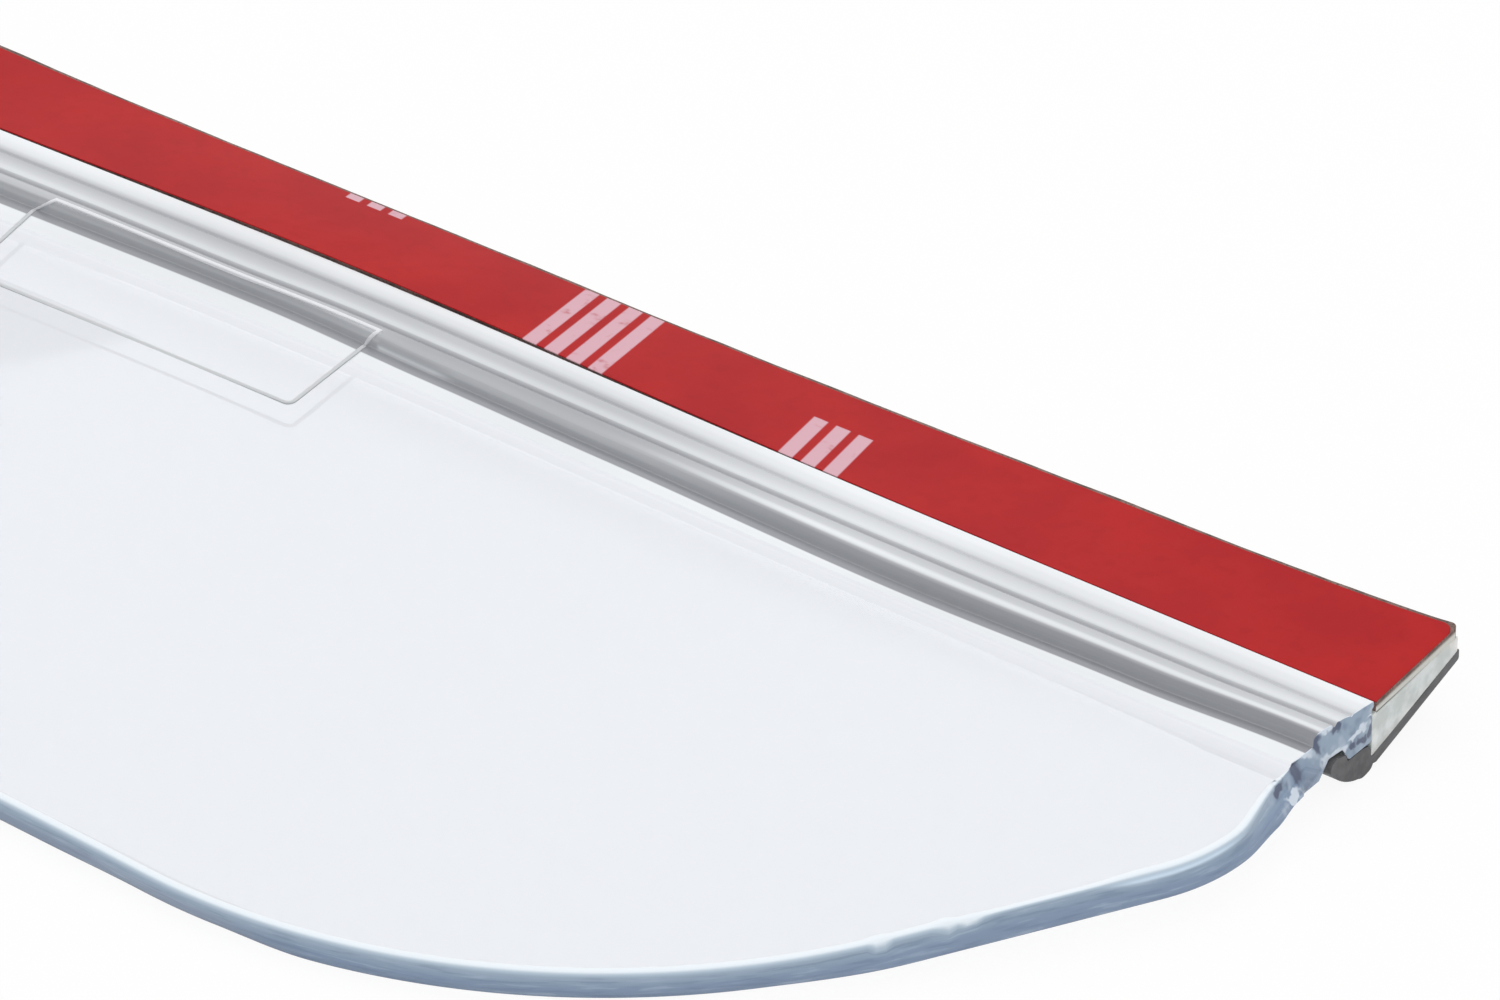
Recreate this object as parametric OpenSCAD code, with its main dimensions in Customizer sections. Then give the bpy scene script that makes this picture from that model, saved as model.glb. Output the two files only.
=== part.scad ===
// Clear stick-on rain guard for a car's door mirror. A flat visor blade with a
// ribbed rail is carried by a soft lip strip, a wedge core and a foam tape.
// X runs along the rail, Y to the rear and Z out of the mounting face, and the
// origin is the centre of that face.

/* [Rail] */
// Length of the straight rail, and of the strips behind it
rail_len = 176; // [150:1:240]
// Width of the rail, from its rear face to the blade's open top
rail_w = 4.8; // [4.4:0.1:7]
// Height of the rail above the top of the blade
rail_rise = 0.9; // [0.7:0.1:1.4]
// Distance of the shallow groove from the rail's rear face
shallow_groove_at = 1.8; // [1.2:0.1:2.1]
// Distance of the deep groove from the rail's rear face
deep_groove_at = 3; // [2.7:0.1:3.6]
// Width of both grooves in the rail's top
groove_w = 0.4; // [0.2:0.05:0.6]
// Depth of the shallow groove
shallow_groove_d = 0.15; // [0.1:0.05:0.4]
// Depth of the deep groove
deep_groove_d = 0.4; // [0.2:0.05:0.6]

/* [Underside of the rail] */
// Width of the leg that stands under the rail's rear part
leg_w = 2.4; // [1.6:0.1:2.8]
// Height from the leg's bottom to the rail's top
leg_h = 2.9; // [2.7:0.1:4]
// Thickness of the rail above the recess in front of the leg
rail_t = 2; // [1.6:0.1:2.3]
// Width of the slope between the recess and the blade's underside
recess_slope_w = 1.4; // [0.8:0.1:1.6]
// How far that slope reaches in front of the rail
slope_past_rail = 0.8; // [0.4:0.1:1.2]
// Width of the slope on the leg's front
leg_slope_w = 0.45; // [0.2:0.05:0.5]

/* [Blade] */
// Thickness of the blade
blade_t = 1.8; // [1.5:0.1:2.4]
// Distance from the rail's rear face to the blade's front edge
blade_depth = 57.6; // [50:0.2:75]
// Angle by which the blade's end widens from the rail
flare_angle = 5; // [4:0.5:12]
// How far the widest point of the blade stands past the rail's end
shoulder_out = 0.75; // [0.5:0.05:1.2]
// Radius of the blade's edge at its widest point
shoulder_r = 12.5; // [8:0.5:16]
// Angle by which the blade's side then turns in
side_angle = 30; // [24:1:34]
// Radius of the blade's front corners
front_r = 43; // [34:1:48]
// How far the middle of the front edge dips back from its ends
front_dip = 1.5; // [0.5:0.1:3]

/* [Blank frame] */
// Length of the raised frame, over its lines
frame_w = 27.4; // [16:0.2:40]
// Depth of the raised frame, over its lines
frame_d = 9; // [6:0.5:14]
// Width of the frame's raised line
frame_line = 0.5; // [0.3:0.05:0.5]
// Height of the frame's raised line above the blade
frame_h = 0.25; // [0.15:0.05:0.5]
// Corner radius of the frame
frame_r = 0.6; // [0.55:0.05:1.5]

/* [Mounting tape] */
// Width of the foam tape and its liner
tape_w = 9; // [8:0.5:14]
// Thickness of the foam tape
foam_t = 0.8; // [0.5:0.1:1.2]
// Thickness of the release liner
liner_t = 0.1; // [0.1:0.05:0.3]
// Gap between the tape and the rail's rear face
tape_gap = 0.3; // [0.1:0.1:0.8]
// How far the liner's top stands above the rail's top
tape_proud = 0.2; // [0.1:0.05:0.4]

/* [Wedge core] */
// Thickness of the wedge at the rail
wedge_front_t = 3; // [2.6:0.1:4]
// Thickness of the wedge at its rear edge
wedge_rear_t = 0.95; // [0.6:0.05:1.6]

/* [Lip strip] */
// Thickness of the skin under the wedge
skin_t = 0.75; // [0.5:0.05:1]
// How far the skin reaches past the wedge's rear edge
skin_over = 0.2; // [0:0.1:0.6]
// Radius of the lip's rounded heel
heel_r = 1.05; // [1:0.05:1.3]
// Distance of the heel's centre in front of the rail's rear face
heel_in = 0.75; // [0.5:0.05:1.2]
// How far the heel hangs below the leg
heel_drop = 2.2; // [2:0.1:2.5]
// Radius of the lip's nose
nose_r = 0.6; // [0.4:0.05:0.7]
// Distance from the rail's rear face to the tip of the nose
nose_reach = 4.35; // [4.1:0.05:4.6]
// Clearance between the nose and the recess above it
nose_gap = 0.15; // [0.1:0.05:0.3]
// Clearance between the lip's cup and the front of the leg
cup_gap = 0.1; // [0.05:0.05:0.2]

/* [Hidden] */

// Heights, from the liner's top downwards
tape_bottom_z = -(liner_t + foam_t);
rail_top_z = -tape_proud;
blade_top_z = rail_top_z - rail_rise;
blade_bottom_z = blade_top_z - blade_t;
recess_z = rail_top_z - rail_t;
leg_bottom_z = rail_top_z - leg_h;

// Places across the guard
tape_rear_y = tape_w / 2;
rail_rear_y = -tape_rear_y - tape_gap;
rail_front_y = rail_rear_y - rail_w;
slope_front_y = rail_front_y - slope_past_rail;
front_y = rail_rear_y - blade_depth;

// Steps in a rounded stretch, and how deep a raised line is rooted
arc_steps = 24;
dip_steps = 6;
nose_steps = 14;
root = 0.3;

function arc(c, r, a0, a1, steps) =
    [for (i = [0:steps]) let (a = a0 + (a1 - a0) * i / steps) [c[0] + r * cos(a), c[1] + r * sin(a)]];

// Two circles of different size in one outline, joined by their tangents
function tapered_bar(c1, r1, c2, r2, steps) =
    let (
        d = c2 - c1,
        turn = atan2(d[1], d[0]),
        spread = acos((r1 - r2) / norm(d))
    )
    concat(arc(c1, r1, turn + spread, turn + 360 - spread, steps), arc(c2, r2, turn - spread, turn + spread, steps));

// Right half of the blade's outline, from the rail's end round to the front
rail_end = [rail_len / 2, slope_front_y];
shoulder_x = rail_end[0] + shoulder_out - shoulder_r;
flare_end_x = shoulder_x + shoulder_r * cos(flare_angle);
flare_end_y = rail_end[1] - (flare_end_x - rail_end[0]) / tan(flare_angle);
shoulder_c = [shoulder_x, flare_end_y - shoulder_r * sin(flare_angle)];
side_start = shoulder_c + shoulder_r * [cos(side_angle), -sin(side_angle)];
side_foot_x = side_start[0] - (side_start[1] - front_y) * tan(side_angle);
front_tangent = front_r * tan((90 - side_angle) / 2);
front_c = [side_foot_x - front_tangent, front_y + front_r];
dip_angle = 2 * atan(front_dip / front_c[0]);
dip_r = front_c[0] / sin(dip_angle) - front_r;
dip_c = [0, front_y + front_dip - dip_r];
half_outline = concat(
    [rail_end],
    arc(shoulder_c, shoulder_r, flare_angle, -side_angle, arc_steps),
    arc(front_c, front_r, -side_angle, -90 - dip_angle, arc_steps),
    arc(dip_c, dip_r, 90 - dip_angle * (1 - 1 / dip_steps), 90, dip_steps)
);
// The point on the middle line is used once
mirror_from = len(half_outline) - 2;
blade_outline = concat(half_outline, [for (i = [mirror_from:-1:0]) [-half_outline[i][0], half_outline[i][1]]]);

// Bottom of the wedge at any place across the guard
wedge_slope = (wedge_front_t - wedge_rear_t) / (tape_rear_y - rail_rear_y);
function wedge_bottom(y) = tape_bottom_z - wedge_front_t + wedge_slope * (y - rail_rear_y);

// A profile drawn in Y and Z, run along the whole rail
module along_rail() {
    rotate([90, 0, 90])
        translate([0, 0, -rail_len / 2])
            linear_extrude(height = rail_len)
                children();
}

// One groove in the rail's top, as a V with its own depth
function groove(at, depth) = [
    [rail_rear_y - at + groove_w / 2, rail_top_z],
    [rail_rear_y - at, rail_top_z - depth],
    [rail_rear_y - at - groove_w / 2, rail_top_z]
];

module rail_profile() {
    polygon(concat(
        [[rail_rear_y, leg_bottom_z], [rail_rear_y, rail_top_z]],
        groove(shallow_groove_at, shallow_groove_d),
        groove(deep_groove_at, deep_groove_d),
        [
            [rail_front_y, rail_top_z],
            [rail_front_y, blade_top_z],
            [slope_front_y, blade_top_z],
            [slope_front_y, blade_bottom_z],
            [slope_front_y + recess_slope_w, recess_z],
            [rail_rear_y - leg_w - leg_slope_w, recess_z],
            [rail_rear_y - leg_w, leg_bottom_z]
        ]
    ));
}

module rounded_rectangle(w, d, r) {
    polygon(concat(
        arc([w / 2 - r, d / 2 - r], r, 0, 90, 6),
        arc([r - w / 2, d / 2 - r], r, 90, 180, 6),
        arc([r - w / 2, r - d / 2], r, 180, 270, 6),
        arc([w / 2 - r, r - d / 2], r, 270, 360, 6)
    ));
}

// Raised line on the blade, up against the foot of the rail
module blank_frame() {
    translate([0, rail_front_y - frame_d / 2, blade_top_z - root])
        linear_extrude(height = frame_h + root)
            difference() {
                rounded_rectangle(frame_w, frame_d, frame_r);
                rounded_rectangle(frame_w - 2 * frame_line, frame_d - 2 * frame_line, frame_r - frame_line);
            }
    // Its rear line runs up the rail's front face
    translate([-frame_w / 2, rail_front_y - frame_h, blade_top_z - root])
        cube([frame_w, frame_h + root, rail_rise + root]);
}

// Clear moulding: the ribbed rail with its leg, the flat blade and the frame
module visor_blade() {
    color([0.87, 0.91, 0.95, 0.5]) {
        along_rail() rail_profile();
        translate([0, 0, blade_bottom_z])
            linear_extrude(height = blade_t)
                polygon(blade_outline);
        blank_frame();
    }
}

module wedge_profile() {
    polygon([
        [rail_rear_y, wedge_bottom(rail_rear_y)],
        [tape_rear_y, wedge_bottom(tape_rear_y)],
        [tape_rear_y, tape_bottom_z],
        [rail_rear_y, tape_bottom_z]
    ]);
}

// Milky core between the tape and the skin, against the rail's rear face
module wedge_core() {
    color([0.88, 0.89, 0.87])
        along_rail() wedge_profile();
}

// What the lip's cup leaves free for the leg, up to the recess
module leg_room() {
    polygon([
        [rail_rear_y, leg_bottom_z],
        [rail_rear_y, recess_z],
        [rail_rear_y - leg_w - leg_slope_w - cup_gap, recess_z],
        [rail_rear_y - leg_w - cup_gap, leg_bottom_z]
    ]);
}

// Skin under the wedge, which ends in a rounded lip under the rail
module lip_profile() {
    heel_c = [rail_rear_y - heel_in, leg_bottom_z - heel_drop + heel_r];
    nose_c = [rail_rear_y - nose_reach + nose_r, recess_z - nose_gap - nose_r];
    skin_end_y = tape_rear_y + skin_over;
    difference() {
        union() {
            polygon([
                [heel_c[0], wedge_bottom(heel_c[0]) - skin_t],
                [skin_end_y, wedge_bottom(skin_end_y) - skin_t],
                [skin_end_y, wedge_bottom(skin_end_y)],
                [heel_c[0], wedge_bottom(heel_c[0])]
            ]);
            polygon(tapered_bar(heel_c, heel_r, nose_c, nose_r, nose_steps));
        }
        wedge_profile();
        leg_room();
    }
}

module lip_strip() {
    color([0.38, 0.38, 0.40])
        along_rail() lip_profile();
}

// One layer of the tape, between two heights
module tape_layer(bottom_z, top_z) {
    translate([-rail_len / 2, -tape_w / 2, bottom_z])
        cube([rail_len, tape_w, top_z - bottom_z]);
}

module foam_tape() {
    color([0.42, 0.36, 0.34])
        tape_layer(tape_bottom_z, -liner_t);
}

// Pull-off liner over the foam's upper adhesive face
module release_liner() {
    color([0.71, 0.23, 0.24])
        tape_layer(-liner_t, 0);
}

visor_blade();
wedge_core();
lip_strip();
foam_tape();
release_liner();
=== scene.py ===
from bisect import bisect_left
from functools import reduce
from math import acos, asin, atan, atan2, cos, degrees, exp, hypot, pi, radians, sin, tan

import bmesh
import bpy
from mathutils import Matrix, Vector


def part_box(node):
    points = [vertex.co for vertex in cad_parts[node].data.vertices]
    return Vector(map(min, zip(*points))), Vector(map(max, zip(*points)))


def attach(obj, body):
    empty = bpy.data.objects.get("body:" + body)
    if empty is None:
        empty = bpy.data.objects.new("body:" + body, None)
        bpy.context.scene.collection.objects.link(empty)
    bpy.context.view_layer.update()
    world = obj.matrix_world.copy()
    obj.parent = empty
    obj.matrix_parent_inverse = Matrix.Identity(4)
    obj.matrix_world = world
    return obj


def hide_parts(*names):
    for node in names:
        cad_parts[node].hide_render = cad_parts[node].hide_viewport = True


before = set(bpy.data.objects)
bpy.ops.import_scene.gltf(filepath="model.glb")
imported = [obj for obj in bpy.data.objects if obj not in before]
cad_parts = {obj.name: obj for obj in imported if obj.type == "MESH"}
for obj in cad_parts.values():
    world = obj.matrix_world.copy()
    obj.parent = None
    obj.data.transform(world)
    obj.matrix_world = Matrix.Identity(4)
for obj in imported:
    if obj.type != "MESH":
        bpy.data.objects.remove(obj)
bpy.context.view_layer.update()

mm = 0.001  # every size in the dictionaries is in millimetres

# Where the solids lie, in millimetres
visorLow, visorHigh = (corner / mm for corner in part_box("visor_blade"))
coreLow, coreHigh = (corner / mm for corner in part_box("wedge_core"))
foamLow, foamHigh = (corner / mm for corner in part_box("foam_tape"))
linerLow, linerHigh = (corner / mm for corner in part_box("release_liner"))
railEnd = foamHigh.x
railRear = visorHigh.y
railTop = visorHigh.z
frontEdge = visorLow.y
railWidth = 4.8


# Node trees

def arithmetic(operation):
    # A Math node's methods for a wire before the operator and behind it
    return (lambda wire, other: wire.bench.math(operation, wire, other),
            lambda wire, other: wire.bench.math(operation, other, wire))


class Wire:
    # A socket's output inside a tree; arithmetic on it adds Math nodes
    def __init__(self, bench, socket):
        self.bench = bench
        self.socket = socket

    def __neg__(self):
        return self.bench.math("MULTIPLY", self, -1.0)

    def __abs__(self):
        return self.bench.math("ABSOLUTE", self)

    __add__, __radd__ = arithmetic("ADD")
    __sub__, __rsub__ = arithmetic("SUBTRACT")
    __mul__, __rmul__ = arithmetic("MULTIPLY")
    __truediv__, __rtruediv__ = arithmetic("DIVIDE")


class Bench:
    # The node tree that is being filled, of a material if one is given
    def __init__(self, tree, material=None):
        self.tree = tree
        self.material = material

    def put(self, kind, sockets=None, out=0, **settings):
        node = self.tree.nodes.new(kind)
        for key, value in settings.items():
            setattr(node, key, value)
        for key, value in (sockets or {}).items():
            if isinstance(value, Wire):
                self.tree.links.new(value.socket, node.inputs[key])
            else:
                node.inputs[key].default_value = value
        return Wire(self, node.outputs[out]) if len(node.outputs) else node

    def feed(self, key, value):
        self.tree.links.new(value.socket, self.tree.nodes["Principled BSDF"].inputs[key])

    def painted(self, color):
        self.feed("Base Color", color)
        return self.material

    def math(self, operation, *values):
        return self.put("ShaderNodeMath", dict(enumerate(values)), operation=operation)

    def step(self, value, start, end, smooth=True):
        # 0 before start and 1 after end; start may lie above end
        kind = "SMOOTHSTEP" if smooth else "LINEAR"
        sockets = {"Value": value, "From Min": start, "From Max": end}
        return self.put("ShaderNodeMapRange", sockets, interpolation_type=kind)

    def between(self, value, rise, fall):
        # 1 between two steps, each given as its start and its end
        return self.step(value, *rise) * self.step(value, *fall)

    def bell(self, value, centre, width):
        # 1 at the centre, falling off over the width
        away = (value - centre) / width
        return self.math("EXPONENT", -(away * away))

    def most(self, values):
        return reduce(lambda first, second: self.math("MAXIMUM", first, second), values)

    def vector(self, **parts):
        return self.put("ShaderNodeCombineXYZ", parts)

    def shift(self, geometry, **parts):
        return self.put("GeometryNodeSetPosition", {"Geometry": geometry, "Offset": self.vector(**parts)})

    def xyz(self, vector):
        split = self.put("ShaderNodeSeparateXYZ", {0: vector}).socket.node
        return [Wire(self, output) for output in split.outputs]

    def millimetres(self, vector):
        return [part / mm for part in self.xyz(vector)]

    def attribute(self, name):
        return self.put("ShaderNodeAttribute", out="Fac", attribute_name=name)

    def blend(self, factor, first, second):
        # 6 and 7 are the Mix node's color inputs, and 2 is its color output
        sockets = {"Factor": factor, 6: first, 7: second}
        return self.put("ShaderNodeMix", sockets, 2, data_type="RGBA")

    def ramp(self, value, stops):
        made = self.put("ShaderNodeValToRGB", {0: value})
        elements = made.socket.node.color_ramp.elements
        while len(elements) < len(stops):
            elements.new(0.5)
        for element, (place, color) in zip(elements, stops):
            element.position, element.color = place, color
        return made

    def ladder(self, value, stops):
        # A grey ramp through the stops
        return self.ramp(value, [(place, (tone, tone, tone, 1)) for place, tone in stops])

    def roughen(self, height, strength, distance):
        sockets = {"Strength": strength, "Distance": distance * mm, "Height": height}
        self.feed("Normal", self.put("ShaderNodeBump", sockets))

    def noise(self, where, scale, detail=2.0, roughness=0.5, stretch=(1, 1, 1)):
        if stretch != (1, 1, 1):
            where = self.put("ShaderNodeMapping", {"Vector": where, "Scale": stretch})
        sockets = {"Vector": where, "Scale": scale, "Detail": detail, "Roughness": roughness}
        return self.put("ShaderNodeTexNoise", sockets)


def shapeTree(name, sizes):
    # A Geometry Nodes tree with one named input for each size
    tree = bpy.data.node_groups.new(name, "GeometryNodeTree")
    tree.interface.new_socket("Geometry", in_out="INPUT", socket_type="NodeSocketGeometry")
    kinds = {int: "NodeSocketInt", float: "NodeSocketFloat", str: "NodeSocketMaterial"}
    for label, value in sizes.items():
        socket = tree.interface.new_socket(label, in_out="INPUT", socket_type=kinds[type(value)])
        if not isinstance(value, str):
            socket.default_value = value
    tree.interface.new_socket("Geometry", in_out="OUTPUT", socket_type="NodeSocketGeometry")
    bench = Bench(tree)
    entry = tree.nodes.new("NodeGroupInput")
    return bench, {output.name: Wire(bench, output) for output in entry.outputs if output.name}


def baked(piece):
    # The piece's mesh with its modifiers applied
    graph = bpy.context.evaluated_depsgraph_get()
    evaluated = piece.evaluated_get(graph)
    return bpy.data.meshes.new_from_object(evaluated, preserve_all_data_layers=True, depsgraph=graph)


def runTree(piece, tree, values):
    # Evaluates the tree on the piece and keeps the result as its plain mesh
    modifier = piece.modifiers.new(tree.name, "NODES")
    modifier.node_group = tree
    for item in tree.interface.items_tree:
        if item.item_type == "SOCKET" and item.in_out == "INPUT" and item.name in values:
            modifier[item.identifier] = values[item.name]
    made = baked(piece)
    piece.modifiers.remove(modifier)
    piece.data = made


def newMaterial(name, constants):
    # A Principled material's bench and its object coordinates, in metres
    material = bpy.data.materials.new(name)
    material.use_nodes = True
    for key, value in constants.items():
        material.node_tree.nodes["Principled BSDF"].inputs[key].default_value = value
    bench = Bench(material.node_tree, material)
    return bench, bench.put("ShaderNodeTexCoord", out="Object")


def emptyBench(owner):
    # The bench of a material or a world, without its usual nodes
    owner.use_nodes = True
    owner.node_tree.nodes.clear()
    return Bench(owner.node_tree)


def newObject(name, data):
    made = bpy.data.objects.new(name, data)
    bpy.context.scene.collection.objects.link(made)
    return made


# Plane outlines and sections

cornerStep = 15  # degrees of a rounded corner for each of its points


def arc(centre, radius, start, end, steps):
    turns = [radians(start + (end - start) * i / steps) for i in range(steps + 1)]
    return [(centre[0] + radius * cos(turn), centre[1] + radius * sin(turn)) for turn in turns]


def rounded(corners, closed):
    # Rounds each (x, y, radius) corner
    path = []
    count = len(corners)
    for i, (x, y, radius) in enumerate(corners):
        if radius == 0 or (not closed and i in (0, count - 1)):
            path.append((x, y))
            continue
        here = Vector((x, y))
        back = Vector(corners[i - 1][:2]) - here
        ahead = Vector(corners[(i + 1) % count][:2]) - here
        bend = pi - back.angle(ahead)
        longest = 0.49 * min(back.length, ahead.length)  # just under half of the shorter side
        reach = min(radius * tan(bend / 2), longest)
        steps = max(2, round(degrees(bend) / cornerStep))
        first, last = here + back.normalized() * reach, here + ahead.normalized() * reach
        for k in range(steps + 1):
            t = k / steps
            point = first * (1 - t) ** 2 + here * 2 * t * (1 - t) + last * t * t
            path.append((point.x, point.y))
    return path


def smoothStep(value, start, end):
    t = min(1.0, max(0.0, (value - start) / (end - start)))
    return t * t * (3 - 2 * t)


# How the soft guard lies: its rail and strips arch up a little near the middle

lie = {
    "Rest lift": 0.25,  # how far the whole rail stands off the floor
    "Crest": 0.65,  # what the arch adds at its highest place
    "Crest place": 9.0,
    "Crest width": 27.0,
    "Strip sag": 0.3,  # of the strips, away from the crest
    "Droop place": 8.0,
    "Droop width": 42.0,
    "Droop": 11.1,  # in degrees, at its largest
    "Level": 0.5,  # in degrees, far from the droop
    "End curl": 5.0,  # in degrees, at the strips' cut ends
    "Curl length": 7.5,
    "Swing start": 0.3,  # how far behind the rail the strips begin to swing
    "Blend": 0.5,  # half the width of the passage into the strips
    "Rail rear": railRear,
    "Rail front": railRear - railWidth,
    "Front edge": frontEdge,
    "End": railEnd,
    "Strips": 1.0,  # 0 for the visor, which has no part behind the rail
}


def makeLieTree():
    bench, size = shapeTree("lie", lie)
    x, y, z = bench.millimetres(bench.put("GeometryNodeInputPosition"))
    crest = bench.bell(x, size["Crest place"], size["Crest width"])
    fade = bench.step(y, size["Front edge"], size["Rail front"], smooth=False)
    lift = (size["Rest lift"] + size["Crest"] * crest) * fade
    behind = y - size["Rail rear"]
    share = bench.step(behind, -size["Blend"], size["Blend"]) * size["Strips"]
    curl = bench.math("EXPONENT", (abs(x) - size["End"]) / size["Curl length"])
    droop = size["Droop"] * bench.bell(x, size["Droop place"], size["Droop width"])
    angle = (size["Level"] - droop + size["End curl"] * curl) * radians(1)
    swing = bench.math("TANGENT", angle) * bench.math("MAXIMUM", behind - size["Swing start"], 0.0)
    rise = (lift + share * (swing - size["Strip sag"] * (1 - crest))) * mm
    bench.put("NodeGroupOutput", {0: bench.shift(size["Geometry"], Z=rise)})
    return bench.tree


lieTree = makeLieTree()
print("lie tree ready")


def makeStripTree():
    # Runs a closed section along the rail and lets it lie with the rest
    bench, size = shapeTree("strip", {
        "Length": 1.0, "Stations": 3, "Edge wander": 0.0, "Wander from": 0.0, "Wander fade": 0.2,
        "Corner": 0.1, "Corner from": 3.0, "Corner to": 3.1, "Finish": ""})
    half = size["Length"] / 2 * mm
    ends = {"Start": bench.vector(X=-half), "End": bench.vector(X=half)}
    line = bench.put("GeometryNodeCurvePrimitiveLine", ends)
    line = bench.put("GeometryNodeResampleCurve", {"Curve": line, "Count": size["Stations"]})
    # The stations crowd towards both ends, where the corners are round
    x, y, z = bench.xyz(bench.put("GeometryNodeInputPosition"))
    place = bench.vector(X=bench.math("SINE", x / half * (pi / 2)) * half)
    line = bench.put("GeometryNodeSetPosition", {"Geometry": line, "Position": place})
    line = bench.put("GeometryNodeSetCurveNormal", {"Curve": line}, mode="Z_UP")
    section = bench.put("GeometryNodeMeshToCurve", {"Mesh": size["Geometry"]})
    swept = {"Curve": line, "Profile Curve": section, "Fill Caps": True}
    body = bench.put("GeometryNodeCurveToMesh", swept)
    # The cut edges wander a little
    x, y, z = bench.xyz(bench.put("GeometryNodeInputPosition"))
    wave = bench.noise(bench.vector(X=x), 90.0, detail=3.0) - 0.5
    edge, fade = size["Wander from"] * mm, size["Wander fade"] * mm
    rear = bench.step(y, edge, edge + fade)
    front = bench.step(y, -edge, -edge - fade)
    body = bench.shift(body, Y=(rear + front) * wave * size["Edge wander"] * mm)
    # The rear corners are round, seen from above
    corner = size["Corner"]
    over = bench.math("MAXIMUM", abs(x) / mm - (half / mm - corner), 0.0)
    cut = corner - bench.math("SQRT", bench.math("MAXIMUM", corner * corner - over * over, 0.0))
    atRear = bench.step(y, size["Corner from"] * mm, size["Corner to"] * mm)
    body = bench.shift(body, Y=cut * atRear * -mm)
    body = bench.put("GeometryNodeGroup", {"Geometry": body}, node_tree=lieTree)
    body = bench.put("GeometryNodeSetMaterial", {"Geometry": body, "Material": size["Finish"]})
    bench.put("NodeGroupOutput", {0: body})
    return bench.tree


stripTree = makeStripTree()


def makeStrip(name, section, material, corner=0.1, wander=0.0, wanderFrom=99.0, stations=221):
    # The sweep turns a section over, so it is given as (-Y, -Z)
    mesh = bpy.data.meshes.new(name)
    points = [(-y * mm, -z * mm, 0.0) for y, z in section]
    mesh.from_pydata(points, [(i, (i + 1) % len(points)) for i in range(len(points))], [])
    piece = newObject(name, mesh)
    values = {"Length": 2 * railEnd, "Stations": stations, "Finish": material, "Edge wander": wander,
              "Wander from": wanderFrom, "Corner": corner}
    runTree(piece, stripTree, values)
    smoothShade(piece.data, angle=32)
    return piece


def smoothShade(mesh, angle):
    mesh.shade_smooth()
    mesh.set_sharp_from_angle(angle=radians(angle))


# Clear visor: ribbed rail, blade and blank frame in one moulding

visor = {
    "Section": [  # distance from the rail's rear face, depth below its top, corner radius
        (5.6, 2.7, 0), (4.2, 2.0, 0.4), (2.85, 2.0, 0.2), (2.4, 2.9, 0.25), (0.0, 2.9, 0.2),
        (0.0, 0.6, 0.1), (-0.2, 0.42, 0.1), (-0.2, 0.02, 0.12), (0.85, 0.0, 3.0), (1.64, 0.04, 0.08),
        (1.8, 0.17, 0.06), (1.96, 0.04, 0.08), (2.5, 0.0, 2.0), (3.06, 0.04, 0.1),
        (3.3, 0.34, 0.08), (3.54, 0.05, 0.1), (4.0, 0.0, 2.0), (4.5, 0.03, 0.15),
        (4.8, 0.3, 0.25), (4.82, 0.82, 0.1), (5.6, 0.9, 0.3), (7.2, 0.9, 0)],
    "Front turn": 4.4,  # from here on railRun counts a point's depth too
    "Groove drift": [  # X, how far forward
        (-12.0, 0.4), (2.5, 0.56), (12.0, 0.35), (40.0, 0.25), (60.0, 0.26), (78.0, 0.13), (88.0, -0.12)],
    "Groove drift from": (1.9, 2.8),  # from the rail's rear face, start and end
    "Foot drift": [
        (-12.0, 0.26), (6.0, 0.2), (20.0, 0.55), (34.0, 0.65), (58.0, 1.1), (75.0, 0.76), (87.0, 0.25)],
    "Foot drift from": (3.8, 4.7),
    "End slant": 0.95,  # how far the top of an end face leans in
    "End slant from": (-1.0, 6.5),
    "Foot": 5.6,
    "Blade thickness": 1.8,
    "Flare angle": 5.0,
    "Shoulder out": 0.75,
    "Shoulder radius": 12.5,
    "Side angle": 30.0,
    "Front radius": 43.0,
    "Front dip": 1.5,
    "Outline steps": (40, 60, 12),  # on the shoulder, the front corner and half of the front
    "Stations": 400,
    "Lead": 0.3,  # running length from the rail's end to the first station
    "Columns": 16,
    "Crowding": 0.6,  # how much closer the columns lie by the rim
    "End rounding": 0.05,
    "Rim rounding": [  # running length from the rail's end, radius of the blade's upper edge
        (0.3, 0.05), (3.0, 0.3), (6.0, 0.45), (15.0, 0.55), (19.0, 0.3), (27.0, 0.3), (29.5, 0.5)],
    "Upper inset": [(0.3, 0.95), (1.5, 0.85), (8.0, 0.0)],  # how far the upper edge lies in
    "Lower rounding": 0.15,
    "Lower rounding full": 5.0,  # running length where it is reached
    "Lean": [  # how far the lower edge stands out
        (1.0, 0.0), (4.0, 0.35), (8.0, 0.5), (30.0, 0.5), (40.0, 0.0), (67.0, 0.0), (74.0, -0.4),
        (80.0, -0.4), (88.0, -0.25)],
    "Rim steps": 6,
    "Side steps": 2,
    "Lower steps": 3,
    "Halo": 0.15,  # width of the painted highlight line inside the rim
    "Halo least": 0.01,
    "Halo full": 3.0,
    "Side band": 0.3,  # edgeBand where the cut edge's side begins
    "Lower band": 0.85,  # the same where it ends; 1 is the underside
    "Halo band": 0.1,  # how far the halo lies below 0
    "Nick band": 0.36,  # how much nearer to the halo's painted highlight the rim is in a nick
    "Nicks": [  # middle, half width, depth
        ((80.5, -38.0), 0.6, 0.5), ((80.9, -36.6), 0.9, 0.1), ((77.9, -41.5), 0.4, 0.25)],
}


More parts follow.
